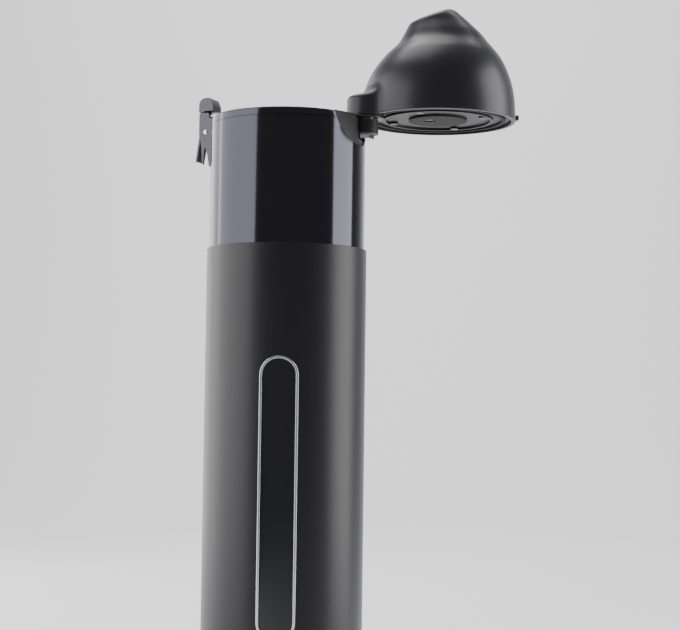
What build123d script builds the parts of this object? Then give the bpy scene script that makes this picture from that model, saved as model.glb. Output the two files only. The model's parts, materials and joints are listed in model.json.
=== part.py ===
"""Soda carbonator: a slim round tower with a sight window, a glossy collar, a domed lid that swings
aside on an upright pin, and a draw latch opposite the pin. A gas cartridge sits in the base, and a
flask stands in the tower. Millimetres, +Z up, origin at the middle of the foot, front towards -Y.
The lid is drawn swung open, and the latch down."""

import os
from math import cos, radians, sin

from build123d import *

os.makedirs("parts", exist_ok=True)

# ---- Driving dimensions -------------------------------------------------------------------------
# Tower
body_radius = 51.6
body_wall = 1.5
body_height = 340.0
collar_step = 1.6  # how far the collar stands in from the sleeve
collar_wall = 2.0
collar_height = 85.0
mouth_band = 5.0
spigot_length = 7.0
fit = 0.1  # between pieces that are pushed together
floor_gap = 2.0  # from the ground to the sleeve's lower edge

# Inner tube that guides the flask
tube_wall = 2.0
flask_clearance = 4.5

# Base
foot_height = 4.0
foot_inset = 3.6
foot_width = 7.0
base_thickness = 6.0
well_inner = 22.5
well_wall = 5.5
dock_height = 86.0
dock_thickness = 6.0

# Window
window_width = 24.4
window_length = 175.0
window_drop = 70.0  # from the sleeve's upper edge to the window
bezel_width = 1.6
bezel_proud = 0.4
bezel_depth = 3.0
lens_thickness = 1.8
sight_width = 17.0

# Flask
flask_radius = 38.0
flask_wall = 2.2
flask_neck = 15.0
flask_edge = 4.0
pad_thickness = 3.0
pad_width = 10.0
mouth_clearance = 1.0

# Hinge
hinge_bearing = 78.0  # from the front, towards +X
pin_stand = 1.09  # from the collar to the pin's axis
pin_radius = 3.0
lid_open_angle = 145.0
notch_bearing = 68.0
notch_radius = 24.6
notch_rise = 5.1  # from the rim up to the notch's middle
block_gap = 0.25
boss_radius = 8.5
boss_height = 9.0
nut_height = 3.0
running_fit = 0.05
bush_wall = 1.6
bush_post = 2.0
bush_sunk = 3.0  # from the lug's top down to the bush
lug_clearance = 0.4

# Lid
lid_overhang = 0.5  # how far the lid stands out over the collar
lid_wall = 2.6
lid_gap = 0.8  # between the mouth's rim and the lid
lug_radius = 12.0
lug_drop = 2.0  # how far the lug reaches below the lid's lower edge
neck_half_width = 10.0
lug_height = 13.0
plate_recess = 2.0
plate_thickness = 2.5
ridge_inset = 6.5  # from the guide tube's bore in to the ridge under the plate
gasket_height = 1.4
screw_inset = 5.0  # from the ridge in to the screws
facet_tilt = 21.0
facet_lip = 19.0  # how far the top facet's low edge stands from the lid's axis
facet_height = 65.2
dome_height = 75.0

# Relief button
button_radius = 8.0
button_gap = 0.35
button_shift = 6.0  # from the lid's axis towards the hinge pin
button_height = 40.0
button_travel = 3.0
stem_radius = 2.2
valve_radius = 11.0
valve_height = 15.0
spring_wire = 1.0
spring_turns = 6

# Latch, drawn outwards (x) and upwards (y) from the mouth's rim
latch_bearing = 250.0
cheek_gap = 5.7  # half of the room between the cheeks
cheek_thickness = 1.3
lever_pivot = (7.0, -5.8)
link_pivot = (10.2, -7.1)
latch_pin_radius = 1.25
hook_half_width = 3.7
base_back = 1.6
latch_screw_drops = (-16.5, -24.0)
latch_screw_radius = 1.3
latch_screw_head = 1.2
lever_half_width = 5.3
head_half_width = 6.0
hook_top = 17.3
hook_bottom = 8.4
hook_face = 12.9
hook_reach = 2.4
keeper_reach = 4.0
keeper_bottom = 4.2
keeper_top = 7.4
keeper_half_width = 5.0

# ---- Heights and places worked out from them ----------------------------------------------------
collar_radius = body_radius - collar_step
lid_radius = collar_radius + lid_overhang
pin_offset = collar_radius + pin_stand
tube_radius = flask_radius + flask_clearance + tube_wall
ridge_radius = tube_radius - tube_wall - ridge_inset
screw_circle = ridge_radius - screw_inset
foot_outer = body_radius - foot_inset
foot_inner = foot_outer - foot_width
rim = body_height + collar_height
lid_z = rim + lid_gap
sleeve_inner = body_radius - body_wall
collar_inner = collar_radius - collar_wall
tube_inner = tube_radius - tube_wall
base_top = floor_gap + base_thickness
dock_top = dock_height + dock_thickness
bush_radius = pin_radius + running_fit + bush_wall
bush_bottom = lid_z - lug_drop
bush_top = lid_z + lug_height - bush_sunk
hinge_seat = rim - lug_drop
window_top = body_height - window_drop
window_bottom = window_top - window_length


def bearing(angle, distance=1.0):
    """The point at that bearing, measured from the front (-Y) towards +X."""
    return Vector(distance * sin(radians(angle)), -distance * cos(radians(angle)), 0)


pin_place = bearing(hinge_bearing, pin_offset)
lid_centre = pin_place + bearing(hinge_bearing + 180 - lid_open_angle, pin_offset)
notch_side = Plane(
    origin=(0, 0, rim + notch_rise),
    x_dir=bearing(notch_bearing + 90),
    z_dir=bearing(notch_bearing),
)
keeper_out = bearing(latch_bearing - lid_open_angle)
latch_out = bearing(latch_bearing)
latch_side = Plane(
    origin=latch_out * collar_radius + Vector(0, 0, rim),
    x_dir=latch_out,
    z_dir=latch_out.cross(Vector(0, 0, 1)),
)
latch_face = Plane(origin=latch_side.origin, x_dir=-latch_side.z_dir, z_dir=latch_out)
front = Plane(origin=(0, 0, (window_top + window_bottom) / 2), x_dir=(1, 0, 0), z_dir=(0, -1, 0))


def lid_plane(height):
    """A level plane in the lid, with its x axis towards the hinge pin."""
    return Plane(
        origin=(lid_centre.X, lid_centre.Y, lid_z + height),
        x_dir=pin_place - lid_centre,
        z_dir=(0, 0, 1),
    )


def disc(height, radius, length, hole=0.0, mode=Mode.ADD):
    """Adds a level disc or ring on the tower's axis to the part being built."""
    with BuildSketch(Plane.XY.offset(height)) as ring:
        Circle(radius)
        if hole:
            Circle(hole, mode=Mode.SUBTRACT)
    extrude(ring.sketch, amount=length, mode=mode)


def lid_disc(height, radius, length, hole=0.0, mode=Mode.ADD):
    """Adds a level disc or ring on the lid's axis to the part being built."""
    with BuildSketch(lid_plane(height)) as ring:
        Circle(radius)
        if hole:
            Circle(hole, mode=Mode.SUBTRACT)
    extrude(ring.sketch, amount=length, mode=mode)


def pin_disc(height, radius, length, hole=0.0, mode=Mode.ADD):
    """Adds a level disc or ring on the hinge pin's axis to the part being built."""
    with BuildSketch(Plane.XY.offset(height)) as ring:
        with Locations((pin_place.X, pin_place.Y)):
            Circle(radius)
            if hole:
                Circle(hole, mode=Mode.SUBTRACT)
    extrude(ring.sketch, amount=length, mode=mode)


def window_prism(width, length, mode):
    """Cuts or keeps what lies in front of the axis inside a round-ended window."""
    with BuildSketch(front) as opening:
        SlotOverall(length, width, rotation=90)
    extrude(opening.sketch, amount=2 * body_radius, mode=mode)


def cut_notch(radius, mode):
    """Cuts or keeps what lies on the hinge side inside the round notch at the rim."""
    with BuildSketch(notch_side) as opening:
        Circle(radius)
    extrude(opening.sketch, amount=2 * body_radius, mode=mode)


def latch_bores(radius, start, length, mode):
    """The latch's screws, or holes for them, drawn outwards from the collar."""
    with BuildSketch(latch_face.offset(start)) as bores:
        with Locations(*[(0, drop) for drop in latch_screw_drops]):
            Circle(radius)
    extrude(bores.sketch, amount=length, mode=mode)


def latch_axle(centre, radius, half_width, mode=Mode.ADD):
    """A round pin across the latch, or the hole for one."""
    with BuildSketch(latch_side) as section:
        with Locations(centre):
            Circle(radius)
    extrude(section.sketch, amount=half_width, both=True, mode=mode)


def save(part, name):
    part.part.label = name
    export_step(part.part, f"parts/{name}.step")


# ---- Base -----------------------------------------------------------------------------------------
with BuildPart() as foot_ring:
    disc(0, foot_outer, foot_height, foot_inner)
    fillet(foot_ring.edges().group_by(Axis.Z)[0], 1.0)
save(foot_ring, "foot_ring")

dock_screw_count = 3
dock_screw_circle = well_inner + well_wall / 2
dock_screw_radius = 1.5
screw_head_radius = 2.7
screw_head_height = 1.8
screw_bite = 8.0


def dock_bores(height, radius, length, mode=Mode.ADD):
    """Adds or cuts one level disc for each of the dock's screws."""
    with BuildSketch(Plane.XY.offset(height)) as bores:
        with PolarLocations(dock_screw_circle, dock_screw_count):
            Circle(radius)
    extrude(bores.sketch, amount=length, mode=mode)


with BuildPart() as base_plate:
    disc(floor_gap, sleeve_inner - fit, base_thickness, well_inner)
    disc(floor_gap, foot_outer + fit, foot_height - floor_gap, foot_inner - fit, Mode.SUBTRACT)
    disc(base_top, well_inner + well_wall, dock_height - base_top, well_inner)
    dock_bores(dock_height - screw_bite, dock_screw_radius, screw_bite, Mode.SUBTRACT)
save(base_plate, "base_plate")

# The cap turns by its bar. It holds the cartridge, which turns with it.
cap_radius = well_inner - 0.4
cap_thickness = 6.0
cup_height = 22.0
cartridge_radius = 15.0
cartridge_top = 70.0
cap_bottom = floor_gap + 0.6
cap_top = cap_bottom + cap_thickness
with BuildPart() as base_cap:
    disc(cap_bottom, cap_radius, cap_thickness)
    disc(cap_bottom, cap_radius - 4, cap_thickness / 2, mode=Mode.SUBTRACT)
    with BuildSketch(Plane.XY.offset(cap_bottom)):
        Rectangle(2 * (cap_radius - 3.8), 6)
    extrude(amount=cap_thickness / 2)
    disc(cap_top, cartridge_radius + 3.5, cup_height, cartridge_radius + fit)
save(base_cap, "base_cap")

shoulder = 12.0
neck_radius = 4.6
with BuildPart() as gas_cartridge:
    disc(cap_top, cartridge_radius, cartridge_top - shoulder - cap_top)
    with BuildSketch(Plane.XY.offset(cartridge_top - shoulder)):
        Circle(cartridge_radius)
    with BuildSketch(Plane.XY.offset(cartridge_top - shoulder / 3)):
        Circle(neck_radius)
    loft()
    disc(cartridge_top - shoulder / 3, neck_radius, shoulder / 3)
    fillet(gas_cartridge.edges().group_by(Axis.Z)[0], 4.0)
save(gas_cartridge, "gas_cartridge")

valve_bottom = cartridge_top + 0.4
pierce_radius = 1.4
with BuildPart() as gas_valve_block:
    disc(valve_bottom, well_inner - fit, dock_height - valve_bottom, pierce_radius)
save(gas_valve_block, "gas_valve_block")

nozzle_radius = 3.2
nozzle_height = 7.0
with BuildPart() as gas_nozzle:
    disc(valve_bottom, pierce_radius, dock_top - valve_bottom)
    disc(dock_top, nozzle_radius, nozzle_height)
    chamfer(gas_nozzle.edges().group_by(Axis.Z)[-1], 0.8)
save(gas_nozzle, "gas_nozzle")

with BuildPart() as dock_plate:
    disc(dock_height, sleeve_inner - fit, dock_thickness, pierce_radius)
    dock_bores(dock_height, dock_screw_radius, dock_thickness, Mode.SUBTRACT)
    dock_bores(
        dock_top - screw_head_height, screw_head_radius + fit, screw_head_height, Mode.SUBTRACT
    )
save(dock_plate, "dock_plate")

with BuildPart() as dock_screws:
    dock_bores(
        dock_height - screw_bite, dock_screw_radius, screw_bite + dock_thickness - screw_head_height
    )
    dock_bores(dock_top - screw_head_height, screw_head_radius, screw_head_height)
save(dock_screws, "dock_screws")

# ---- Tower ------------------------------------------------------------------------------------------
with BuildPart() as body_sleeve:
    disc(floor_gap, body_radius, body_height - floor_gap, sleeve_inner)
    fillet(body_sleeve.edges().group_by(Axis.Z)[-1].sort_by(SortBy.LENGTH)[-1], 0.5)
    window_prism(window_width, window_length, Mode.SUBTRACT)
save(body_sleeve, "body_sleeve")

bezel_back = body_radius - bezel_depth
with BuildPart() as window_bezel:
    disc(window_bottom - 5, body_radius + bezel_proud, window_length + 10, bezel_back)
    window_prism(window_width - fit, window_length - fit, Mode.INTERSECT)
    window_prism(
        window_width - 2 * bezel_width, window_length - 2 * bezel_width, Mode.SUBTRACT
    )
save(window_bezel, "window_bezel")

with BuildPart() as window_lens:
    disc(window_bottom - 5, bezel_back + lens_thickness, window_length + 10, bezel_back)
    window_prism(
        window_width - 2 * bezel_width - fit,
        window_length - 2 * bezel_width - fit,
        Mode.INTERSECT,
    )
save(window_lens, "window_lens")

# The sleeve and the collar both push on to this ring.
coupler_inner = tube_radius + 1.5
coupler_reach = 14.0
with BuildPart() as coupler_ring:
    disc(body_height - coupler_reach, sleeve_inner - fit, coupler_reach, coupler_inner)
    disc(body_height, collar_inner - fit, coupler_reach, coupler_inner)
save(coupler_ring, "coupler_ring")

with BuildPart() as collar_sleeve:
    disc(body_height, collar_radius, collar_height - mouth_band, collar_inner)
    cut_notch(notch_radius, Mode.SUBTRACT)
    latch_bores(latch_screw_radius, -5, 10, Mode.SUBTRACT)
save(collar_sleeve, "collar_sleeve")

with BuildPart() as mouth_ring:
    disc(rim - mouth_band, collar_radius, mouth_band, tube_radius + fit)
    fillet(mouth_ring.edges().group_by(Axis.Z)[-1].sort_by(SortBy.LENGTH)[-1], 1.2)
    disc(rim - mouth_band - spigot_length, collar_inner - fit, spigot_length, tube_radius + fit)
    cut_notch(notch_radius, Mode.SUBTRACT)
save(mouth_ring, "mouth_ring")

with BuildPart() as guide_tube:
    disc(dock_top, tube_radius, rim - dock_top, tube_inner)
    pin_disc(hinge_seat, lug_radius + lug_clearance, 2 * lug_drop, mode=Mode.SUBTRACT)
    window_prism(sight_width, window_length - 8, Mode.SUBTRACT)
save(guide_tube, "guide_tube")

# ---- Flask --------------------------------------------------------------------------------------
with BuildPart() as flask_pad:
    disc(dock_top, flask_radius - flask_edge, pad_thickness, flask_radius - flask_edge - pad_width)
save(flask_pad, "flask_pad")

flask_bottom = dock_top + pad_thickness
flask_mouth = rim - mouth_clearance
shoulder_height = 52.0
neck_length = 26.0
shoulder_bottom = flask_mouth - neck_length - shoulder_height
valve_pocket = nozzle_radius + 0.6
pocket_top = dock_top + nozzle_height + 0.8


def flask_form(inset, floor, mode):
    """Turns base, wall, shoulder and neck about the tower's axis, drawn in by inset."""
    wall = flask_radius - inset
    neck = flask_neck - inset
    neck_bottom = flask_mouth - neck_length
    with BuildSketch(Plane.XZ) as section:
        with BuildLine():
            Polyline((0, floor), (wall, floor), (wall, shoulder_bottom))
            Spline(
                (wall, shoulder_bottom),
                (neck, neck_bottom),
                tangents=((0, 1), (0, 1)),
                tangent_scalars=(1.1, 0.7),
            )
            Polyline((neck, neck_bottom), (neck, flask_mouth), (0, flask_mouth), (0, floor))
        make_face()
    revolve(section.sketch, axis=Axis.Z, mode=mode)


with BuildPart() as flask:
    flask_form(0, flask_bottom, Mode.ADD)
    fillet(flask.edges().group_by(Axis.Z)[0], flask_edge)
    flask_form(flask_wall, flask_bottom + 3 * flask_wall, Mode.SUBTRACT)
    disc(flask_mouth - 8, flask_neck + 2, 3, flask_neck)
    disc(flask_bottom, valve_pocket, pocket_top - flask_bottom, mode=Mode.SUBTRACT)
save(flask, "flask")

# ---- Hinge ----------------------------------------------------------------------------------------
nut_bottom = hinge_seat - boss_height - nut_height
with BuildPart() as hinge_block:
    disc(rim - notch_radius, collar_radius - 0.2, notch_radius, tube_radius + block_gap)
    cut_notch(notch_radius - block_gap, Mode.INTERSECT)
    pin_disc(hinge_seat, lug_radius + lug_clearance, 2 * lug_drop, mode=Mode.SUBTRACT)
    pin_disc(nut_bottom - 1, boss_radius, nut_height + 1, mode=Mode.SUBTRACT)
    pin_disc(hinge_seat - boss_height, boss_radius, boss_height)
    disc(rim - notch_radius, tube_radius + block_gap, notch_radius, mode=Mode.SUBTRACT)
    pin_disc(rim - 2 * notch_radius, pin_radius, 3 * notch_radius, mode=Mode.SUBTRACT)
save(hinge_block, "hinge_block")

with BuildPart() as hinge_washer:
    pin_disc(hinge_seat, pin_radius + 3, lid_gap - running_fit, pin_radius + running_fit)
save(hinge_washer, "hinge_washer")

with BuildPart() as hinge_pin:
    pin_disc(nut_bottom, pin_radius, bush_top - nut_bottom)
    fillet(hinge_pin.edges().group_by(Axis.Z)[-1], 0.8)
save(hinge_pin, "hinge_pin")

with BuildPart() as hinge_nut:
    with BuildSketch(Plane.XY.offset(nut_bottom)):
        with Locations((pin_place.X, pin_place.Y)):
            RegularPolygon(pin_radius + 2.8, 6)
            Circle(pin_radius, mode=Mode.SUBTRACT)
    extrude(amount=nut_height)
save(hinge_nut, "hinge_nut")

with BuildPart() as hinge_bush:
    pin_disc(bush_bottom, bush_radius, bush_top - bush_bottom, pin_radius + running_fit)
save(hinge_bush, "hinge_bush")

# ---- Lid ------------------------------------------------------------------------------------------
# Level sections of the dome: height, lean away from the hinge, radius.
dome_sections = (
    (0.0, 0.0, 1.0),
    (0.13, 0.0, 0.995),
    (0.27, 0.5, 0.962),
    (0.42, 1.3, 0.885),
    (0.57, 2.7, 0.75),
    (0.7, 3.6, 0.58),
    (0.78, 2.7, 0.497),
    (0.85, 1.1, 0.416),
    (0.92, -1.0, 0.337),
    (1.0, -2.0, 0.22),
)


def dome(inset, top, mode=Mode.ADD):
    """A loft through the level sections, each drawn in by inset, and lowered to that top."""
    sections = []
    for height, lean, share in dome_sections:
        with BuildSketch(lid_plane(height * top)) as section:
            with Locations((-lean, 0)):
                Circle(share * lid_radius - inset)
        sections.append(section.sketch)
    loft(sections, mode=mode)


upwards = Vector(0, 0, 1)
to_pin = (pin_place - lid_centre).normalized()
facet = Plane(
    origin=lid_centre + to_pin * facet_lip + upwards * (lid_z + facet_height),
    x_dir=to_pin * cos(radians(facet_tilt)) - upwards * sin(radians(facet_tilt)),
    z_dir=to_pin * sin(radians(facet_tilt)) + upwards * cos(radians(facet_tilt)),
)
lid_screw_count = 4
post_radius = 3.6
screw_length = 14.0
screw_radius = 1.3
plate_z = plate_recess
plate_radius = lid_radius - lid_wall - 0.3

with BuildPart() as hollow:
    dome(lid_wall, dome_height - 2 * lid_wall)
    lid_disc(0, lid_radius - lid_wall, plate_z + plate_thickness + fit)
    with BuildSketch(facet.offset(-2 * lid_wall)):
        Rectangle(200, 200)
    extrude(amount=40, mode=Mode.SUBTRACT)

keeper_middle = (keeper_bottom + keeper_top) / 2 - lid_gap
keeper_screw_radius = 1.0
keeper_axis = Plane(
    origin=lid_centre + upwards * (lid_z + keeper_middle), x_dir=upwards, z_dir=keeper_out
)


def keeper_bore(mode):
    """The keeper's screw, or the hole for it, through the dome's wall."""
    with BuildSketch(keeper_axis) as bore:
        Circle(keeper_screw_radius)
    extrude(bore.sketch, amount=collar_radius + keeper_reach, mode=mode)


def lid_posts(height, radius, length, mode=Mode.ADD):
    """Adds or cuts one level disc for each of the lid's screws."""
    with BuildSketch(lid_plane(height)) as posts:
        with PolarLocations(screw_circle, lid_screw_count, start_angle=45):
            Circle(radius)
    extrude(posts.sketch, amount=length, mode=mode)


def button_disc(height, radius, length, hole=0.0, mode=Mode.ADD):
    """Adds or cuts a level disc or ring on the relief button's axis."""
    with BuildSketch(lid_plane(height)) as ring:
        with Locations((button_shift, 0)):
            Circle(radius)
            if hole:
                Circle(hole, mode=Mode.SUBTRACT)
    extrude(ring.sketch, amount=length, mode=mode)


with BuildPart() as lid_posts_up:
    lid_posts(plate_z + plate_thickness, post_radius, dome_height)
    lid_posts(plate_z, screw_radius, screw_length, Mode.SUBTRACT)
    dome(lid_wall / 2, dome_height - lid_wall, Mode.INTERSECT)

with BuildPart() as lid_dome:
    dome(0, dome_height)
    with BuildSketch(facet):
        Rectangle(200, 200)
    extrude(amount=40, mode=Mode.SUBTRACT)
    with BuildSketch(lid_plane(0)):
        with Locations((pin_offset, 0)):
            Circle(lug_radius)
        with Locations((pin_offset - lug_radius, 0)):
            Rectangle(2 * lug_radius, 2 * neck_half_width)
    extrude(amount=lug_height)
    pin_disc(lid_z - lug_drop, lug_radius, lug_drop + 1)
    add(hollow.part, mode=Mode.SUBTRACT)
    add(lid_posts_up.part)
    pin_disc(bush_bottom, bush_radius + bush_post, lug_height + lug_drop)
    pin_disc(bush_bottom, bush_radius, bush_top - bush_bottom + fit, mode=Mode.SUBTRACT)
    button_disc(button_height, button_radius + button_gap, dome_height, mode=Mode.SUBTRACT)
    keeper_bore(Mode.SUBTRACT)
save(lid_dome, "lid_dome")

stopper_radius = flask_neck + 4
stopper_bottom = 0.6
head_height = 1.4
with BuildPart() as lid_plate:
    lid_disc(plate_z, plate_radius, plate_thickness, stopper_radius + fit)
    lid_disc(plate_z - head_height, ridge_radius, head_height, ridge_radius - 2)
    lid_posts(plate_z, screw_radius, plate_thickness, Mode.SUBTRACT)
    pin_disc(lid_z, bush_radius + bush_post + 0.3, lug_height, mode=Mode.SUBTRACT)
save(lid_plate, "lid_plate")

with BuildPart() as lid_screws:
    lid_posts(plate_z, screw_radius, screw_length)
    lid_posts(plate_z - head_height, 2 * screw_radius, head_height)
save(lid_screws, "lid_screws")

with BuildPart() as lid_gasket:
    lid_disc(plate_z - gasket_height, tube_radius - 0.5, gasket_height, tube_inner - 1)
save(lid_gasket, "lid_gasket")

poppet_radius = 3.6
poppet_bottom = stopper_bottom + 0.5
poppet_height = 1.8
stopper_top = plate_z + plate_thickness
with BuildPart() as flask_stopper:
    lid_disc(stopper_bottom, stopper_radius, stopper_top - stopper_bottom)
    button_disc(stopper_bottom, poppet_radius + 0.3, poppet_height + 0.6, mode=Mode.SUBTRACT)
    button_disc(stopper_bottom, stem_radius + 0.3, stopper_top, mode=Mode.SUBTRACT)
save(flask_stopper, "flask_stopper")

# ---- Relief valve -----------------------------------------------------------------------------------
valve_top = stopper_top + valve_height
with BuildPart() as relief_valve:
    button_disc(stopper_top, valve_radius, valve_height / 3, stem_radius + running_fit)
    button_disc(stopper_top, valve_radius - 3, valve_height, stem_radius + running_fit)
save(relief_valve, "relief_valve")

with BuildPart() as relief_stem:
    button_disc(poppet_bottom, stem_radius, button_height - poppet_bottom)
    button_disc(poppet_bottom, poppet_radius, poppet_height)
save(relief_stem, "relief_stem")

with BuildPart() as relief_button:
    button_disc(button_height, button_radius, dome_height - button_height)
    with BuildSketch(facet):
        Rectangle(200, 200)
    extrude(amount=40, mode=Mode.SUBTRACT)
save(relief_button, "relief_button")

spring_radius = stem_radius + 2
spring_bottom = valve_top + spring_wire / 2 + 0.1
spring_length = button_height - valve_top - spring_wire - 0.3
spring_foot = lid_plane(spring_bottom).from_local_coords(Vector(button_shift, 0, 0))
with BuildPart() as relief_spring:
    with BuildLine() as coil:
        Helix(
            pitch=spring_length / spring_turns,
            height=spring_length,
            radius=spring_radius,
            center=spring_foot,
        )
    with BuildSketch(Plane(coil.line @ 0, z_dir=coil.line % 0)):
        Circle(spring_wire / 2)
    sweep()
save(relief_spring, "relief_spring")

# ---- Latch ----------------------------------------------------------------------------------------
with BuildPart() as latch_keeper:
    with BuildSketch(keeper_axis.offset(collar_radius - keeper_reach)):
        Rectangle(keeper_top - keeper_bottom, 2 * keeper_half_width)
    extrude(amount=2 * keeper_reach)
    lid_disc(0, lid_radius - 1, dome_height, mode=Mode.SUBTRACT)
    add(lid_dome.part, mode=Mode.SUBTRACT)
    keeper_bore(Mode.SUBTRACT)
save(latch_keeper, "latch_keeper")

with BuildPart() as keeper_screw:
    keeper_bore(Mode.ADD)
    with BuildSketch(keeper_axis):
        Circle(3 * keeper_screw_radius)
    extrude(amount=lid_radius - lid_wall + 0.3, mode=Mode.SUBTRACT)
save(keeper_screw, "keeper_screw")

cheek_half_width = cheek_gap + cheek_thickness
with BuildPart() as latch_base:
    with BuildSketch(latch_side):
        with BuildLine():
            Polyline((-2, -28.5), (-2, -0.8), (1.8, -0.8), (1.8, 3.4), (4.8, 3.4))
            Polyline((4.8, 3.4), (4.8, 6.1), (5.6, 6.9), (11.2, 6.9), (12.0, 6.1), (12.0, -9))
            Spline((12.0, -9), (7.4, -15), (5.4, -21), (4.4, -28.5))
            Line((4.4, -28.5), (-2, -28.5))
        make_face()
    extrude(amount=cheek_half_width, both=True)
    with BuildSketch(latch_side):
        with Locations((base_back + 20, -10)):
            Rectangle(40, 60)
    extrude(amount=cheek_gap, both=True, mode=Mode.SUBTRACT)
    disc(rim - 40, collar_radius, 39.9, mode=Mode.SUBTRACT)
    latch_axle(lever_pivot, latch_pin_radius, 2 * cheek_half_width, Mode.SUBTRACT)
    latch_bores(latch_screw_radius, -5, 10, Mode.SUBTRACT)
save(latch_base, "latch_base")

with BuildPart() as latch_screws:
    latch_bores(latch_screw_radius, -collar_wall - 1, collar_wall + 1 + base_back, Mode.ADD)
    latch_bores(2 * latch_screw_radius, base_back, latch_screw_head, Mode.ADD)
save(latch_screws, "latch_screws")

with BuildPart() as latch_pin:
    latch_axle(lever_pivot, latch_pin_radius, cheek_half_width)
    latch_axle(lever_pivot, latch_pin_radius + 0.7, cheek_half_width + 0.6)
    with BuildSketch(latch_side):
        with Locations(lever_pivot):
            Circle(latch_pin_radius + 1)
            Circle(latch_pin_radius, mode=Mode.SUBTRACT)
    extrude(amount=cheek_half_width, both=True, mode=Mode.SUBTRACT)
save(latch_pin, "latch_pin")

arm_gap = hook_half_width + 0.4
across_out = Axis(latch_side.origin, latch_out)
with BuildPart() as latch_lever:
    with BuildSketch(latch_side):
        with Locations(lever_pivot):
            Circle(3.1)
        with BuildLine():
            Polyline(
                (6.2, -2.9), (11.2, -4.2), (12.7, -7.6), (15.2, -25.2), (13.9, -25.2),
                (11.6, -13.2), (10.9, -20), (10.0, -27.2), (9.1, -27.2), (8.9, -19),
                (7.6, -12.5), (6, -8.7), (6.2, -2.9),
            )
        make_face()
    extrude(amount=lever_half_width, both=True)
    with BuildSketch(latch_side):
        with Locations((5.4, -10)):
            Rectangle(11.6, 36)
        with Locations((10, -2)):
            Rectangle(20, 20)
    extrude(amount=arm_gap, both=True, mode=Mode.SUBTRACT)
    latch_axle(lever_pivot, latch_pin_radius + running_fit, lever_half_width, Mode.SUBTRACT)
    latch_axle(link_pivot, latch_pin_radius, lever_half_width, Mode.SUBTRACT)
save(latch_lever, "latch_lever")

with BuildPart() as link_pin:
    latch_axle(link_pivot, latch_pin_radius, lever_half_width)
save(link_pin, "link_pin")

with BuildPart() as latch_hook:
    with BuildSketch(latch_side):
        with Locations(((8.8 + hook_face) / 2, (link_pivot[1] + hook_top) / 2 - 2)):
            Rectangle(hook_face - 8.8, hook_top - link_pivot[1] - 4)
        with Locations(link_pivot):
            Circle(2.0)
    extrude(amount=hook_half_width, both=True)
    with BuildSketch(latch_side):
        with BuildLine():
            Polyline(
                (8.8, 7.6), (8.8, hook_bottom), (hook_reach, hook_bottom), (hook_reach, 12.4),
                (4.4, hook_top), (hook_face, hook_top), (hook_face, 7.6), (8.8, 7.6),
            )
        make_face()
    extrude(amount=head_half_width, both=True)
    across = Axis(latch_side.origin, latch_side.z_dir)
    fillet(latch_hook.edges().filter_by(across).group_by(Axis.Z)[-1].sort_by(across_out)[-1], 5.0)
    latch_axle(link_pivot, latch_pin_radius + running_fit, hook_half_width, Mode.SUBTRACT)
save(latch_hook, "latch_hook")
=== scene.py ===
# %% [markdown]
# # A soda carbonator, seen with its lid swung aside
# The machine is a slim tower. A sleeve with a tall sight window stands on the base, a glossy collar
# stands on the sleeve, and a hollow dome swings away from the collar's mouth on an upright pin. A
# draw latch sits opposite the pin. The working model made in CAD is loaded first and stays fixed.
# Every piece drawn here is in metres, in the CAD model's own frame, so nothing has to be fitted.

# %% Load the frame
import json
import bpy
import numpy as np
from mathutils import Matrix, Vector


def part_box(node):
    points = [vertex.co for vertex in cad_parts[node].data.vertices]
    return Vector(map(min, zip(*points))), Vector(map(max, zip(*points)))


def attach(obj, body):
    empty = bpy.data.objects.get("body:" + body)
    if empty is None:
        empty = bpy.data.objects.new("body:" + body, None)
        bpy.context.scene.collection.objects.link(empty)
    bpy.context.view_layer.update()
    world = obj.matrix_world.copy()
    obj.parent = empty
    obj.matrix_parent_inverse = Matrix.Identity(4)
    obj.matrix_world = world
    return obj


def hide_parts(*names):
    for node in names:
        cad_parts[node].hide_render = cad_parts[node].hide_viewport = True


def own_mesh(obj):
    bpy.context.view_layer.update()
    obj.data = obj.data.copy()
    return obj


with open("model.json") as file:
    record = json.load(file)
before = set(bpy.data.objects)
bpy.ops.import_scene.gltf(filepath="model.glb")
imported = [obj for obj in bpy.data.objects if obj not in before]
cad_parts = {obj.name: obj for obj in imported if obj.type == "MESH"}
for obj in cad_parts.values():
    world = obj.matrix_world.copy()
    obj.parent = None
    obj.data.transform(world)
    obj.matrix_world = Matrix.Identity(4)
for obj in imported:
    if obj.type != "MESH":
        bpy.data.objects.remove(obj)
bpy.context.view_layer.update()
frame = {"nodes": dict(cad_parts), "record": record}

mm = 0.001

# %% [markdown]
# ## Sizes that the pieces share
# The pieces below follow the same sizes as the CAD model. Heights and radii come from the nodes'
# boxes where a box gives them. The hinge pin's axis is the middle of the pin's box, and the lid's
# axis is the middle of the round stopper that hangs under it. The notch for the hinge block is a
# circle whose middle lies a little above the rim, seen from its own bearing round the tower.

# %% Shared sizes
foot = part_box("body_sleeve")[0].z
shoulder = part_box("body_sleeve")[1].z
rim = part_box("mouth_ring")[1].z
sleeve_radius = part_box("body_sleeve")[1].x
collar_radius = -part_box("mouth_ring")[0].x
window_low, window_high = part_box("window_bezel")[0].z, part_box("window_bezel")[1].z
window_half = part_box("window_bezel")[1].x
lid_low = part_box("lid_plate")[1].z - 4.5 * mm
pin_low, pin_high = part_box("hinge_pin")
pin = np.array([(pin_low.x + pin_high.x) / 2, (pin_low.y + pin_high.y) / 2])
stopper_low, stopper_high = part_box("flask_stopper")
lid = np.array([(stopper_low.x + stopper_high.x) / 2, (stopper_low.y + stopper_high.y) / 2])
lid_radius = 50.5 * mm
notch_radius, notch_rise = 24.6 * mm, 5.1 * mm
notch_angle = np.radians(68 - 90)
to_pin = (pin - lid) / np.linalg.norm(pin - lid)
print("lid axis", lid.round(4), "pin", pin.round(4), "rim", round(rim, 4))

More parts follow.
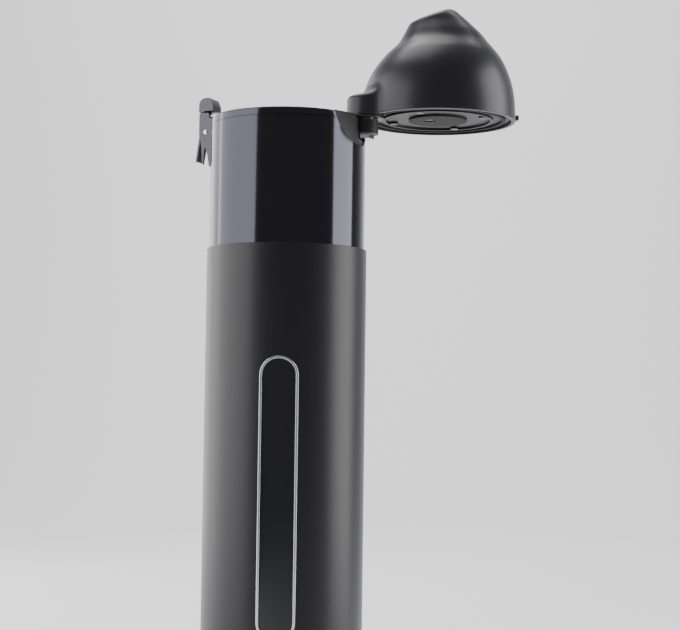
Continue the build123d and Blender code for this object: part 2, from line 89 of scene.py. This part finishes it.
# %% [markdown]
# ## The camera
# The machine is looked at from low down, a little to the right of its front, through a long lens
# from about a metre away. The camera stands below the rim, so the rim's near edge is the higher
# one, and the lid shows its underside. It is tipped up a little and turned past the tower, which
# leaves room for the open lid.

# %% Set up the camera
def camera_frame(bearing, distance, height, turn, tilt, roll):
    """A level stand at that bearing from the front, aimed at the tower's axis, turned and tipped."""
    heading = bearing + turn
    ahead = np.array([-np.sin(heading) * np.cos(tilt), np.cos(heading) * np.cos(tilt), np.sin(tilt)])
    right = np.cross(ahead, (0, 0, 1))
    right /= np.linalg.norm(right)
    up = np.cross(right, ahead)
    right, up = (
        right * np.cos(roll) + up * np.sin(roll),
        up * np.cos(roll) - right * np.sin(roll),
    )
    place = (distance * np.sin(bearing), -distance * np.cos(bearing), height)
    turned = Matrix(np.column_stack([right, up, -ahead]).tolist()).to_4x4()
    return Matrix.Translation(place) @ turned


camera_data = bpy.data.cameras.new("camera")
camera_data.sensor_width = 36
camera_data.lens = 85.67
camera_data.clip_end = 50
camera = bpy.data.objects.new("camera", camera_data)
bpy.context.collection.objects.link(camera)
camera.matrix_world = camera_frame(
    bearing=np.radians(4.263), distance=1.0452, height=0.2362,
    turn=np.radians(-1.914), tilt=np.radians(3.406), roll=np.radians(0.753),
)
bpy.context.scene.camera = camera
print("camera at", [round(v, 3) for v in camera.location], "lens", camera_data.lens)

# %% [markdown]
# ## Grids into meshes
# Each new piece is a grid of points worked out with numpy. Rows and columns are the two parameters
# of its surface. Quads join neighbours, and a wrapped direction joins its last line to its first.
# Shading is smooth except across edges that turn sharply.

# %% Make a piece from a grid
def grid_faces(rows, columns, wrap_rows, wrap_columns):
    """Quads between each point, the next in its row, and the two beyond them in the next row."""
    r = np.arange(rows if wrap_rows else rows - 1)[:, None]
    c = np.arange(columns if wrap_columns else columns - 1)[None, :]
    here, beside = c, (c + 1) % columns
    after = (r + 1) % rows
    return np.stack(
        [r * columns + here, r * columns + beside, after * columns + beside, after * columns + here], -1
    ).reshape(-1, 4)


def piece_from(name, points, faces, body, replaced, sharp=35.0):
    """Merges points that coincide, turns the faces outwards, and puts the piece on its body."""
    mesh = bpy.data.meshes.new(name)
    mesh.from_pydata(points.reshape(-1, 3).tolist(), [], [list(face) for face in faces])
    piece = bpy.data.objects.new(name, mesh)
    bpy.context.collection.objects.link(piece)
    tidy_mesh(mesh)
    mesh.shade_smooth()
    mesh.set_sharp_from_angle(angle=np.radians(sharp))
    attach(piece, body)
    if replaced:
        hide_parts(*replaced)
    print(name, "has", len(mesh.polygons), "faces")
    return piece


def tidy_mesh(mesh):
    """Closes seams and poles by merging doubles, then points every face outwards."""
    import bmesh

    work = bmesh.new()
    work.from_mesh(mesh)
    bmesh.ops.remove_doubles(work, verts=work.verts, dist=2e-6)
    bmesh.ops.dissolve_degenerate(work, edges=work.edges, dist=1e-7)
    bmesh.ops.recalc_face_normals(work, faces=work.faces)
    work.to_mesh(mesh)
    work.free()


def surface(name, points, body, replaced=(), wrap_rows=False, wrap_columns=False, sharp=35.0):
    """One grid of points, indexed by row and column, made into a piece."""
    faces = grid_faces(*points.shape[:2], wrap_rows, wrap_columns)
    return piece_from(name, points, faces, body, replaced, sharp)


def around(arc, height, radius, reference):
    """Wraps flat coordinates round the tower: arc is measured along the reference radius from the
    front, height goes straight up, and radius is the distance from the tower's axis."""
    angle = arc / reference
    return np.stack([radius * np.sin(angle), -radius * np.cos(angle), height + 0 * angle], -1)


def thicken(piece, thickness, edge):
    """Gives a shell its wall, inwards, and takes the sharpness off its edges."""
    wall = piece.modifiers.new("wall", "SOLIDIFY")
    wall.thickness = thickness
    wall.offset = -1
    wall.use_even_offset = True
    soften(piece, edge)


def soften(piece, edge):
    """A small round on every edge that turns by more than about forty degrees."""
    bevel = piece.modifiers.new("edge", "BEVEL")
    bevel.width = edge
    bevel.segments = 2
    bevel.limit_method = "ANGLE"
    bevel.angle_limit = np.radians(40)
    bevel.harden_normals = True


# %% [markdown]
# ## The sleeve
# On the real machine this is a rolled or drawn tube with a long round-ended window milled into its
# front. A cylinder with a boolean would do, but its cut edge would shade badly. Here the unrolled
# tube is drawn instead, as a band between two outlines, the window's and the sheet's own border,
# and then wrapped round the axis. The two ends of the sheet meet at the back.

# %% Outline of the window and the sleeve
def slot_outline(half_width, low, high, side=72, turn=48):
    """A round-ended slot, anticlockwise from the lower end of its right side: up the side, half a
    turn over the top, down the other side, and half a turn under."""
    lower, upper = low + half_width, high - half_width
    rise = np.linspace(lower, upper, side, endpoint=False)
    sweep = np.linspace(0, np.pi, turn, endpoint=False)
    across = np.concatenate([
        np.full(side, half_width), half_width * np.cos(sweep),
        np.full(side, -half_width), -half_width * np.cos(sweep),
    ])
    up = np.concatenate([
        rise, upper + half_width * np.sin(sweep),
        lower + upper - rise, lower - half_width * np.sin(sweep),
    ])
    return np.stack([across, up], -1)


def sheet_border(half_width, low, high, side=72, turn=48):
    """A rectangle with as many points on each side as the slot has on the matching stretch."""
    rise = np.linspace(low, high, side, endpoint=False)
    cross = np.linspace(half_width, -half_width, turn, endpoint=False)
    across = np.concatenate([np.full(side, half_width), cross, np.full(side, -half_width), -cross])
    up = np.concatenate([rise, np.full(turn, high), low + high - rise, np.full(turn, low)])
    return np.stack([across, up], -1)


def sleeve_grid(rows=72):
    """Straight blends from the window's outline to the border, closer together near the window."""
    inner = slot_outline(window_half, window_low, window_high)
    outer = sheet_border(np.pi * sleeve_radius, foot, shoulder)
    share = np.linspace(0, 1, rows)[:, None, None] ** 1.25
    flat = inner + (outer - inner) * share
    return around(flat[..., 0], flat[..., 1], sleeve_radius, sleeve_radius)


sleeve = surface("sleeve", sleeve_grid(), "housing", ["body_sleeve"], wrap_columns=True)
thicken(sleeve, 1.5 * mm, 0.35 * mm)

# %% [markdown]
# ## The window's frame and its lens
# A thin polished strip lines the window and stands a hair proud of the sleeve. It is a small
# section carried round the slot, which keeps its bright edge the same width all the way. The lens
# is a smoked strip set back inside the frame, with the sleeve's own curve.

# %% Window frame and lens
def frame_grid(width, proud, depth, edge):
    """A rounded rectangular section carried round the slot: each point of the section is an inset
    from the window's outline and a height over the sleeve."""
    corner = np.linspace(0, np.pi / 2, 5)
    inset = np.concatenate([[0], edge * (1 - np.cos(corner)), width - edge * (1 - np.sin(corner)), [width]])
    height = np.concatenate(
        [[-depth], proud - edge * (1 - np.sin(corner)), proud - edge * (1 - np.cos(corner)), [-depth]]
    )
    rows = []
    for step, lift in zip(inset, height):
        outline = slot_outline(window_half - step, window_low + step, window_high - step)
        rows.append(around(outline[:, 0], outline[:, 1], sleeve_radius + lift, sleeve_radius))
    return np.stack(rows)


window_frame = surface(
    "window_frame", frame_grid(1.6 * mm, 0.4 * mm, 2.9 * mm, 0.3 * mm), "housing",
    ["window_bezel"], wrap_rows=True, wrap_columns=True,
)


def lens_grid(inset, radius, rows=120, columns=17):
    """Level lines across the slot, each as long as the slot is wide there."""
    half, low, high = window_half - inset, window_low + inset, window_high - inset
    end = half * (1 - np.cos(np.linspace(0, np.pi / 2, 24)))
    height = np.concatenate([low + end, np.linspace(low + half, high - half, rows)[1:-1], high - end[::-1]])
    past = np.clip(np.maximum(low + half - height, height - (high - half)), 0, half)
    reach = np.sqrt(half**2 - past**2)
    arc = reach[:, None] * np.linspace(-1, 1, columns)[None, :]
    return around(arc, height[:, None], radius, sleeve_radius)


lens_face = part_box("window_lens")[0].y
lens = surface("lens", lens_grid(1.62 * mm, -lens_face), "housing", ["window_lens"])
thicken(lens, 1.6 * mm, 0.1 * mm)

# %% [markdown]
# ## The collar and the mouth ring
# The collar is a polished tube that ends under a narrow ring round the mouth. Both are cut by the
# same round notch where the hinge block sits. The tube is a grid whose upper border dips along the
# notch, and the ring is its own section carried round the mouth from one side of the notch to the
# other.

# %% Collar and mouth ring
def notch_reach(height):
    """Half the notch's width at a height, from its circle about a middle a little over the rim."""
    return np.sqrt(np.clip(notch_radius**2 - (rim + notch_rise - height) ** 2, 0, None))


def collar_grid(low, high, radius, rows=60):
    """Upright lines from the joint to the upper border, which is level except along the notch."""
    side = np.arcsin(notch_reach(high) / radius)
    notch = np.linspace(-np.pi / 2, np.pi / 2, 64)
    angle = np.concatenate([
        np.arcsin(np.sin(notch) * np.sin(side)), np.linspace(side, 2 * np.pi - side, 220)[1:-1],
    ])
    cut = rim + notch_rise - np.sqrt(np.clip(notch_radius**2 - (radius * np.sin(angle)) ** 2, 0, None))
    inside = np.cos(angle) > np.cos(side) - 1e-9
    top = np.where(inside, np.minimum(cut, high), high)
    height = low + (top - low) * np.linspace(0, 1, rows)[:, None]
    turned = angle + notch_angle
    return np.stack([radius * np.cos(turned) + 0 * height, radius * np.sin(turned) + 0 * height, height], -1)


band_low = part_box("collar_sleeve")[1].z
collar = surface(
    "collar", collar_grid(shoulder, band_low, collar_radius), "housing",
    ["collar_sleeve"], wrap_columns=True,
)
thicken(collar, 2 * mm, 0.15 * mm)


def mouth_grid(inner, outer, low, high, edge, columns=260):
    """The ring's closed section carried from one side of the notch to the other. Each end follows
    the notch's circle, and both are drawn in to a point that closes them."""
    corner = np.linspace(0, np.pi / 2, 8)
    ring = np.concatenate([
        [inner, outer - edge / 3, outer], outer - edge * (1 - np.cos(corner)),
        inner + 0.3 * edge * (1 - np.sin(corner)), [inner],
    ])
    up = np.concatenate([
        [low, low, low + edge / 6], high - edge * (1 - np.sin(corner)),
        high - 0.3 * edge * (1 - np.cos(corner)), [low + edge / 6],
    ])
    start = np.arcsin(notch_reach(up) / ring)[:, None]
    share = np.concatenate([[0, 0], np.linspace(0, 1, columns), [1, 1]])
    angle = start + (2 * np.pi - 2 * start) * share + notch_angle
    ring, up = ring[:, None], up[:, None]
    points = np.stack([ring * np.cos(angle), ring * np.sin(angle), up + 0 * angle], -1)
    points[:, 0] = points[:, 1].mean(0)
    points[:, -1] = points[:, -2].mean(0)
    return points


ring_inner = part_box("guide_tube")[1].x + 0.1 * mm
mouth = surface(
    "mouth_band", mouth_grid(ring_inner, collar_radius, band_low, rim, 1.2 * mm), "housing",
    ["mouth_ring"], wrap_rows=True,
)

# %% [markdown]
# ## The dome
# The lid is one moulded or spun shell: a dome that leans a little, cut off at the top by a tilted
# flat for the relief button, with a lug for the hinge pin that flows into its side. Joining solids
# and rounding the joint is fragile in a mesh. Instead, rays leave the button's axis, and each point
# is where its ray meets the outer skin. The skin is a rounded sum of the dome and the lug, cut by
# the flat with a rounded edge.

# %% Skin of the dome
dome_height = 75 * mm
dome_levels = dome_height * np.array([-0.2, 0.0, 0.13, 0.27, 0.42, 0.57, 0.7, 0.78, 0.85, 0.92, 1.0])
dome_leans = mm * np.array([0.0, 0.0, 0.0, 0.5, 1.3, 2.7, 3.6, 2.7, 1.1, -1.0, -2.0])
dome_radii = lid_radius * np.array([1.0, 1.0, 0.995, 0.962, 0.885, 0.75, 0.58, 0.497, 0.416, 0.337, 0.22])
pin_reach = np.linalg.norm(pin - lid)
lug_radius, lug_height, lug_drop = 12 * mm, 13 * mm, 2 * mm
facet_lip, facet_height, facet_tilt = 19 * mm, 65.2 * mm, np.radians(21)
button_shift = 6 * mm
button_hole = 8.35 * mm


def smooth_levels(height, values):
    """Cubic through the level sections: each stretch blends two parabolas through three levels."""
    h = dome_levels
    slope = np.gradient(values, h)
    k = np.clip(np.searchsorted(h, height) - 1, 0, len(h) - 2)
    step = h[k + 1] - h[k]
    t = np.clip((height - h[k]) / step, 0, 1.6)
    return (
        values[k] * (1 + 2 * t) * (1 - t) ** 2 + values[k + 1] * t**2 * (3 - 2 * t)
        + slope[k] * step * t * (1 - t) ** 2 - slope[k + 1] * step * t**2 * (1 - t)
    )


def rounded_least(a, b, size):
    """The smaller of two distances, blended where they are within size of each other."""
    share = np.clip(size - abs(a - b), 0, None) / size
    return np.minimum(a, b) - share**2 * size / 4


def skin_distance(x, y, z):
    """How far a point lies outside the lid's skin, about. x runs from the lid's axis to the pin."""
    dome = np.hypot(x + smooth_levels(z, dome_leans), y) - smooth_levels(z, dome_radii)
    dome = dome * 0.72
    post = np.hypot(np.clip(x - pin_reach, 0, None), y) - lug_radius + np.clip(-x, 0, None)
    over = z - lug_height
    edge = 3.5 * mm
    lug = np.hypot(np.clip(post + edge, 0, None), np.clip(over + edge, 0, None)) - edge
    lug = lug + np.minimum(np.maximum(post + edge, over + edge), 0)
    both = rounded_least(dome, lug, 9 * mm)
    flat = (x - facet_lip) * np.sin(facet_tilt) + (z - facet_height) * np.cos(facet_tilt)
    return -rounded_least(-both, -flat, 2.0 * mm + 0.3 * np.clip(-x, 0, 16 * mm))


def meet_skin(start_height, rise, turn):
    """Walks along rays from the button's axis, from well outside, inwards by the distance left."""
    reach = np.full(np.broadcast(start_height, rise, turn).shape, 95 * mm)
    for _ in range(260):
        x = button_shift + reach * np.cos(rise) * np.cos(turn)
        y = reach * np.cos(rise) * np.sin(turn)
        z = start_height + reach * np.sin(rise)
        reach = reach - 0.6 * skin_distance(x, y, z)
    return x, y, z


def lid_to_world(x, y, z):
    """Lid coordinates, with x towards the pin, into the object's frame."""
    return np.stack([
        lid[0] + to_pin[0] * x - to_pin[1] * y, lid[1] + to_pin[1] * x + to_pin[0] * y, lid_low + z,
    ], -1)


def dome_grid(rows=190, columns=360, wall=2.6 * mm):
    """Rows run from inside the button's hole, over the flat and down the dome to the lower edge,
    which is rounded, then across to the inner wall and up it."""
    turn = np.linspace(0, 2 * np.pi, columns, endpoint=False)
    v = np.linspace(0, 1, rows)[:, None]
    steepest = np.arctan2(facet_height - 10 * mm, button_hole)
    rise = steepest * (1 - v) ** 1.15
    start = 10 * mm * (1 - v) ** 1.5
    x, y, z = meet_skin(start, rise, turn[None, :])
    hole_x = button_shift + button_hole * np.cos(turn)
    hole_y = button_hole * np.sin(turn)
    hole_z = facet_height - (hole_x - facet_lip) * np.tan(facet_tilt)
    keep = np.hypot(x - button_shift, y).min(1) > button_hole + 0.35 * mm
    x, y, z = x[keep], y[keep], z[keep]
    bevel = 1 + 0.25 * mm / button_hole
    x = np.vstack([hole_x, hole_x, button_shift + (hole_x - button_shift) * bevel, x])
    y = np.vstack([hole_y, hole_y, hole_y * bevel, y])
    z = np.vstack([0 * hole_z + 42 * mm, hole_z - 0.25 * mm, hole_z, z])
    z = np.maximum(z, 0.5 * mm)
    length = np.hypot(x[-1], y[-1])
    inner = (lid_radius - wall) / length
    for drop, inset in ((0.15, 0.15), (0.0, 0.5)):
        share = 1 - inset * mm / length
        across = share * length * x[-1] / np.hypot(x[-1], y[-1])
        x, y = np.vstack([x, across]), np.vstack([y, y[-1] * share])
        z = np.vstack([z, np.full(columns, drop * mm)])
        length = length * share
    base_x, base_y = x[-1], y[-1]
    around_axis = np.arctan2(base_y, base_x)
    inner_x, inner_y = (lid_radius - wall) * np.cos(around_axis), (lid_radius - wall) * np.sin(around_axis)
    x = np.vstack([x, inner_x, inner_x])
    y = np.vstack([y, inner_y, inner_y])
    z = np.vstack([z, np.zeros(columns), np.full(columns, 4.5 * mm)])
    return lid_to_world(x, y, z)


def lug_foot_grid(outer, inner, drop, edge, columns=96):
    """A ring about the pin below the lug: down its wall, round its lower edge and in to its bore."""
    turn = np.linspace(0, 2 * np.pi, columns, endpoint=False)[None, :]
    bend = np.linspace(0, np.pi / 2, 8)
    reach = np.concatenate([[outer], outer - edge + edge * np.cos(bend), [inner, inner]])[:, None]
    height = np.concatenate([[0.8 * mm], -drop + edge - edge * np.sin(bend), [-drop, 0.8 * mm]])[:, None]
    return np.stack([
        pin[0] + reach * np.cos(turn), pin[1] + reach * np.sin(turn), lid_low + height + 0 * turn,
    ], -1)


dome = surface("dome", dome_grid(), "lid", ["lid_dome"], wrap_columns=True, sharp=45)
lug_foot = surface("lug_foot", lug_foot_grid(lug_radius, 4.6 * mm, lug_drop, 0.6 * mm), "lid",
                   wrap_columns=True)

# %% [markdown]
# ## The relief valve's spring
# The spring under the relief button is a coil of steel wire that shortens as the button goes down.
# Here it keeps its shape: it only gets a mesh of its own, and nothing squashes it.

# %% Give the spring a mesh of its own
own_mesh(frame["nodes"]["relief_spring"])

# %% [markdown]
# ## The latch
# A draw latch is stamped and folded from sheet. A bracket with two cheeks is screwed to the collar,
# a lever turns between them on a pin, and the lever carries a hook that draws the lid's keeper
# down. Each part is an outline with rounded corners, carried across its width, and a small bevel
# gives the bright line that a folded edge has. Outlines are drawn outwards from the collar and
# upwards from the rim, in millimetres.

# %% Outlines carried across a width
latch_bearing = np.radians(250)
latch_out = np.array([np.sin(latch_bearing), -np.cos(latch_bearing), 0.0])
latch_across = np.cross(latch_out, (0, 0, 1))


def rounded_outline(corners, cut, steps=5):
    """Replaces each corner by a parabola that starts and ends a cut length away along its sides."""
    corners = np.array(corners, float)
    cut = np.broadcast_to(cut, len(corners))[:, None]
    before, after = np.roll(corners, 1, 0) - corners, np.roll(corners, -1, 0) - corners
    start = corners + before / np.linalg.norm(before, axis=1, keepdims=True) * cut
    end = corners + after / np.linalg.norm(after, axis=1, keepdims=True) * cut
    t = np.linspace(0, 1, steps)[None, :, None]
    curve = (1 - t) ** 2 * start[:, None] + 2 * t * (1 - t) * corners[:, None] + t**2 * end[:, None]
    return curve.reshape(-1, 2)


def prism(outline, near, far):
    """The outline at two places across the latch: a wall of quads between them and a cap on each."""
    out, up = collar_radius + outline[:, :1] * mm, rim + outline[:, 1:] * mm
    flat = latch_out * out + np.array([0, 0, 1]) * up
    points = np.concatenate([flat + latch_across * near * mm, flat + latch_across * far * mm])
    n = len(outline)
    walls = grid_faces(2, n, False, True).tolist()
    return points, walls + [list(range(n)), list(range(2 * n - 1, n - 1, -1))]


def stamped(name, body, slot, replaced, edge, *prisms):
    """Several prisms as one piece, with their edges softened."""
    points, faces, count = [], [], 0
    for more_points, more_faces in prisms:
        points.append(more_points)
        faces += [[corner + count for corner in face] for face in more_faces]
        count += len(more_points)
    piece = piece_from(name, np.concatenate(points), faces, body, replaced, 30)
    soften(piece, edge)
    return piece


# %% [markdown]
# The bracket is two cheeks and a back, the lever is a bent blade with a forked arm on each side,
# and the hook is a stem with a wider head. The head's outer top corner is rounded the most,
# because a thumb presses there. Each is a few outlines carried across, joined in one piece.

# %% Bracket, lever and hook
cheek = rounded_outline(
    [(-0.5, -28.5), (-0.5, -0.9), (1.8, -0.9), (1.8, 3.4), (4.8, 3.4), (4.8, 6.9), (12.0, 6.9),
     (12.0, -8.6), (7.8, -14.6), (5.6, -20.5), (4.4, -28.5)],
    [0.1, 0.1, 0.1, 0.5, 0.3, 1.1, 1.2, 2.2, 2.6, 2.6, 0.5],
)
back = rounded_outline([(-0.5, -28.5), (-0.5, -0.9), (1.6, -0.9), (1.6, -28.5)], 0.1)
bracket = stamped(
    "latch_bracket", "housing", "latch_metal", ["latch_base"], 0.18 * mm,
    prism(cheek, -7.0, -5.7), prism(cheek, 5.7, 7.0), prism(back, -5.8, 5.8),
)
blade = rounded_outline(
    [(9.6, -3.8), (11.2, -4.2), (12.7, -7.6), (15.2, -25.2), (13.9, -25.2), (11.5, -10.5), (9.6, -8.0)],
    [0.4, 1.0, 2.5, 0.5, 0.5, 2.5, 0.4],
)
arm = rounded_outline(
    [(4.2, -4.6), (6.2, -2.8), (11.2, -4.2), (12.5, -8.0), (11.4, -13.2), (10.8, -20), (10.0, -27.2),
     (9.1, -27.2), (8.9, -19), (7.6, -12.5), (4.6, -8.2)],
    [1.4, 1.2, 1.2, 2.0, 2.5, 2.5, 0.4, 0.4, 2.5, 2.5, 1.4],
)
lever = stamped(
    "lever", "lever", "latch_metal", ["latch_lever"], 0.18 * mm,
    prism(blade, -5.3, 5.3), prism(arm, -5.3, -4.1), prism(arm, 4.1, 5.3),
)
stem = rounded_outline(
    [(8.8, -9.0), (8.8, 9.4), (12.9, 9.4), (12.9, -7.0), (11.6, -9.2)], [1, 0.2, 0.2, 1, 1]
)
head = rounded_outline(
    [(8.8, 7.6), (8.8, 8.4), (2.4, 8.4), (2.4, 12.4), (4.4, 17.3), (12.9, 17.3), (12.9, 7.6)],
    [0.2, 0.2, 0.5, 1.2, 1.6, 5.4, 0.4],
)
hook = stamped(
    "hook", "hook", "latch_metal", ["latch_hook"], 0.2 * mm, prism(stem, -3.7, 3.7), prism(head, -6.0, 6.0),
)

# %% [markdown]
# ## The latch's rivet
# The pin that the lever turns on is a rivet: a plain shank through both cheeks with a low dome at
# each end. A dome catches the lights as one small glint. It is a profile turned about the pin.

# %% Rivet of the lever
def rivet_grid(out, up, half, shank, head, proud, columns=48):
    """Half an ellipse, the shank's wall and half an ellipse again, each turned about the pin."""
    bend = np.linspace(0, np.pi / 2, 10)
    along = np.concatenate([half + proud * np.cos(bend), [half, -half], -half - proud * np.cos(bend[::-1])])
    reach = np.concatenate([head * np.sin(bend), [shank, shank], head * np.sin(bend[::-1])])[:, None]
    turn = np.linspace(0, 2 * np.pi, columns, endpoint=False)[None, :]
    middle = latch_out * (collar_radius + out) + np.array([0, 0, rim + up])
    return (
        middle + latch_across * along[:, None, None]
        + latch_out * (reach * np.cos(turn))[..., None]
        + np.array([0, 0, 1]) * (reach * np.sin(turn))[..., None]
    )


lever_pivot = (7.0 * mm, -5.8 * mm)
cheek_half_width, shank_radius = 7.0 * mm, 1.25 * mm
rivet = surface(
    "rivet", rivet_grid(*lever_pivot, cheek_half_width, shank_radius, 1.6 * mm, 0.55 * mm),
    "housing", ["latch_pin"], wrap_columns=True,
)

# %% [markdown]
# ## Finishes
# Every finish is a small network of nodes. A class wraps one socket, so shader maths reads like
# ordinary arithmetic, and one method makes any other node.

# %% Shader arithmetic
class Wire:
    """One socket of a material. Arithmetic on it adds Math nodes."""

    def __init__(self, tree, socket):
        self.tree = tree
        self.socket = socket

    def node(self, kind, output=0, settings=None, **values):
        """Adds a node: its settings first, then the values or links of its sockets by name."""
        made = self.tree.nodes.new(kind)
        for name, value in (settings or {}).items():
            setattr(made, name, value)
        for name, value in values.items():
            socket = made.inputs[int(name[1:])] if name[1:].isdigit() else made.inputs[name.replace("_", " ")]
            if isinstance(value, Wire):
                self.tree.links.new(value.socket, socket)
            else:
                socket.default_value = value
        return Wire(self.tree, made.outputs[output])

    def maths(self, operation, first, second):
        return self.node("ShaderNodeMath", settings={"operation": operation}, _0=first, _1=second)

    def __add__(self, other):
        return self.maths("ADD", self, other)

    def __mul__(self, other):
        return self.maths("MULTIPLY", self, other)

    __radd__ = __add__
    __rmul__ = __mul__


def new_finish(name, colour, metallic, roughness, **fixed):
    """A finish with its plain values set on the shader's own sockets, and its object coordinates."""
    material = bpy.data.materials.new(name)
    material.use_nodes = True
    tree = material.node_tree
    shader = tree.nodes["Principled BSDF"]
    shader.inputs["Base Color"].default_value = (*colour, 1)
    shader.inputs["Metallic"].default_value = metallic
    shader.inputs["Roughness"].default_value = roughness
    for socket, value in fixed.items():
        shader.inputs[socket.replace("_", " ")].default_value = value
    start = Wire(tree, None)
    place = start.node("ShaderNodeTexCoord", output="Object")
    return material, shader, start, place


def vary(material, shader, start, place, scale, roughness, spread, bump, stretch=(1, 1, 1)):
    """Fine unevenness: noise on the surface drives the roughness a little and lifts a small bump."""
    tree = material.node_tree
    stretched = start.node("ShaderNodeMapping", Vector=place, Scale=stretch)
    noise = start.node("ShaderNodeTexNoise", output="Fac", Vector=stretched, Scale=scale, Detail=4.0)
    tree.links.new((noise * spread + (roughness - spread / 2)).socket, shader.inputs["Roughness"])
    if bump:
        lifted = start.node("ShaderNodeBump", Height=noise, Strength=1.0, Distance=bump)
        tree.links.new(lifted.socket, shader.inputs["Normal"])


# %% [markdown]
# The housing and the lid have the same charcoal powder coat with a satin sheen, the collar is
# polished black nickel, and the small metal parts are plated. Plastic and rubber stay dull.

# %% Finishes
def painted(name, colour, roughness, scale, spread, bump):
    material, shader, start, place = new_finish(name, colour, 0.0, roughness, Specular_IOR_Level=0.36)
    vary(material, shader, start, place, scale, roughness, spread, bump)
    return material


def plated(name, colour, roughness, spread, stretch):
    material, shader, start, place = new_finish(name, colour, 1.0, roughness)
    vary(material, shader, start, place, 60.0, roughness, spread, 0.0, stretch)
    return material


finishes = {
    "housing_satin": painted("charcoal_coat", (0.0075, 0.0072, 0.0095), 0.36, 900.0, 0.06, 1.2e-5),
    "lid_satin": painted("lid_coat", (0.011, 0.0105, 0.014), 0.35, 900.0, 0.06, 1.0e-5),
    "collar_gloss": plated("black_nickel", (0.052, 0.05, 0.062), 0.11, 0.03, (1, 1, 1)),
    "bright_metal": plated("polished_chrome", (0.72, 0.72, 0.74), 0.12, 0.06, (1, 1, 4)),
    "latch_metal": plated("dark_plate", (0.075, 0.073, 0.083), 0.3, 0.1, (1, 1, 3)),
    "black_plastic": painted("black_moulding", (0.009, 0.009, 0.010), 0.48, 1400.0, 0.1, 2e-5),
    "rubber": painted("black_rubber", (0.012, 0.012, 0.012), 0.78, 1100.0, 0.1, 2e-5),
    "plain_steel": plated("drawn_steel", (0.50, 0.50, 0.51), 0.3, 0.15, (1, 1, 8)),
    "black_steel": plated("blackened_steel", (0.05, 0.05, 0.054), 0.35, 0.1, (1, 1, 1)),
    "brass": plated("turned_brass", (0.70, 0.52, 0.25), 0.28, 0.12, (1, 1, 12)),
}


def smoked_glass():
    """Near-black gloss that lets a little of the tube behind it through."""
    material, shader, start, place = new_finish(
        "smoked_glass", (0.006, 0.006, 0.007), 0.0, 0.05, Alpha=0.93, Coat_Weight=0.4, Coat_Roughness=0.03
    )
    vary(material, shader, start, place, 40.0, 0.05, 0.02, 0.0)
    return material


def clear_glass():
    material, shader, start, place = new_finish(
        "clear_glass", (0.93, 0.96, 0.96), 0.0, 0.03, Transmission_Weight=0.95, IOR=1.46
    )
    vary(material, shader, start, place, 30.0, 0.03, 0.02, 0.0)
    return material


finishes["window_glass"] = smoked_glass()
finishes["clear_flask"] = clear_glass()
print("finishes", sorted(finishes))

# %% [markdown]
# ## Who wears what
# The record says which slot each CAD node belongs to, and a new piece names its own slot.

# %% Assign the finishes
def dress(piece, slot):
    piece.data.materials.clear()
    piece.data.materials.append(finishes[slot])


for row in frame["record"]["subparts"]:
    dress(frame["nodes"][row["node"]], row["material_slot"])
for piece, slot in (
    (sleeve, "housing_satin"), (window_frame, "bright_metal"), (lens, "window_glass"),
    (collar, "collar_gloss"), (mouth, "collar_gloss"), (dome, "lid_satin"),
    (lug_foot, "lid_satin"), (rivet, "bright_metal"),
    (bracket, "latch_metal"), (lever, "latch_metal"), (hook, "latch_metal"),
):
    dress(piece, slot)

# %% [markdown]
# ## The studio
# A pale floor and a pale surround, one tall soft light on each side of the machine, and a softer
# one above and in front. The tall lights draw the long bright streaks on the round tower.

# %% Floor and surround
def sweep_grid(width, near, far, radius, height):
    """A flat floor that turns up through a quarter circle into a wall, carried across its width."""
    turn = np.linspace(0, np.pi / 2, 24)
    depth = np.concatenate([[near], far + radius * np.sin(turn), [far + radius]])
    up = np.concatenate([[0], radius * (1 - np.cos(turn)), [height]])
    across = np.array([-width / 2, width / 2])[:, None]
    return np.stack([across + 0 * depth, depth + 0 * across, up + 0 * across], -1)


floor_points = sweep_grid(14, -4, 2.2, 1.5, 5)
floor_mesh = bpy.data.meshes.new("floor")
floor_faces = grid_faces(*floor_points.shape[:2], False, False)
floor_mesh.from_pydata(floor_points.reshape(-1, 3).tolist(), [], floor_faces.tolist())
floor_mesh.shade_smooth()
floor = bpy.data.objects.new("floor", floor_mesh)
bpy.context.collection.objects.link(floor)
pale, pale_shader, pale_start, pale_place = new_finish("pale_floor", (0.78, 0.78, 0.79), 0.0, 0.85)
vary(pale, pale_shader, pale_start, pale_place, 3.0, 0.85, 0.1, 0.0)
floor_mesh.materials.append(pale)

world = bpy.data.worlds.new("surround")
bpy.context.scene.world = world
world.use_nodes = True
world.node_tree.nodes["Background"].inputs["Color"].default_value = (0.62, 0.63, 0.65, 1)
world.node_tree.nodes["Background"].inputs["Strength"].default_value = 0.42


# %% [markdown]
# Soft light comes from large rectangles, which a glossy tube shows as tall bands with clean edges.
# Two stand on the left, one to the side and one further back, so that the bright band reaches the
# tube's outline there. A smaller one on the right draws the narrow band beside the hinge.

# %% Lights
def soft_light(name, place, target, size, power):
    """A rectangle of light that faces its target."""
    data = bpy.data.lights.new(name, "AREA")
    data.shape = "RECTANGLE"
    data.size, data.size_y = size
    data.energy = power
    lamp = bpy.data.objects.new(name, data)
    bpy.context.collection.objects.link(lamp)
    lamp.location = place
    lamp.rotation_euler = (Vector(target) - Vector(place)).to_track_quat("-Z", "Y").to_euler()
    return lamp


soft_light("left_light", (-0.95, -0.15, 0.55), (0, 0, 0.35), (1.5, 1.3), 22)
soft_light("left_back_light", (-1.15, 1.05, 0.55), (0, 0, 0.35), (1.2, 1.3), 12)
soft_light("right_light", (1.0, 0.05, 0.5), (0.05, 0, 0.35), (0.7, 1.2), 15)
soft_light("top_light", (-0.2, 0.3, 1.7), (0.05, 0, 0.4), (0.9, 0.9), 10)
soft_light("backdrop_light", (0, 1.2, 2.6), (0, 3.4, 0.9), (2.5, 1.0), 130)
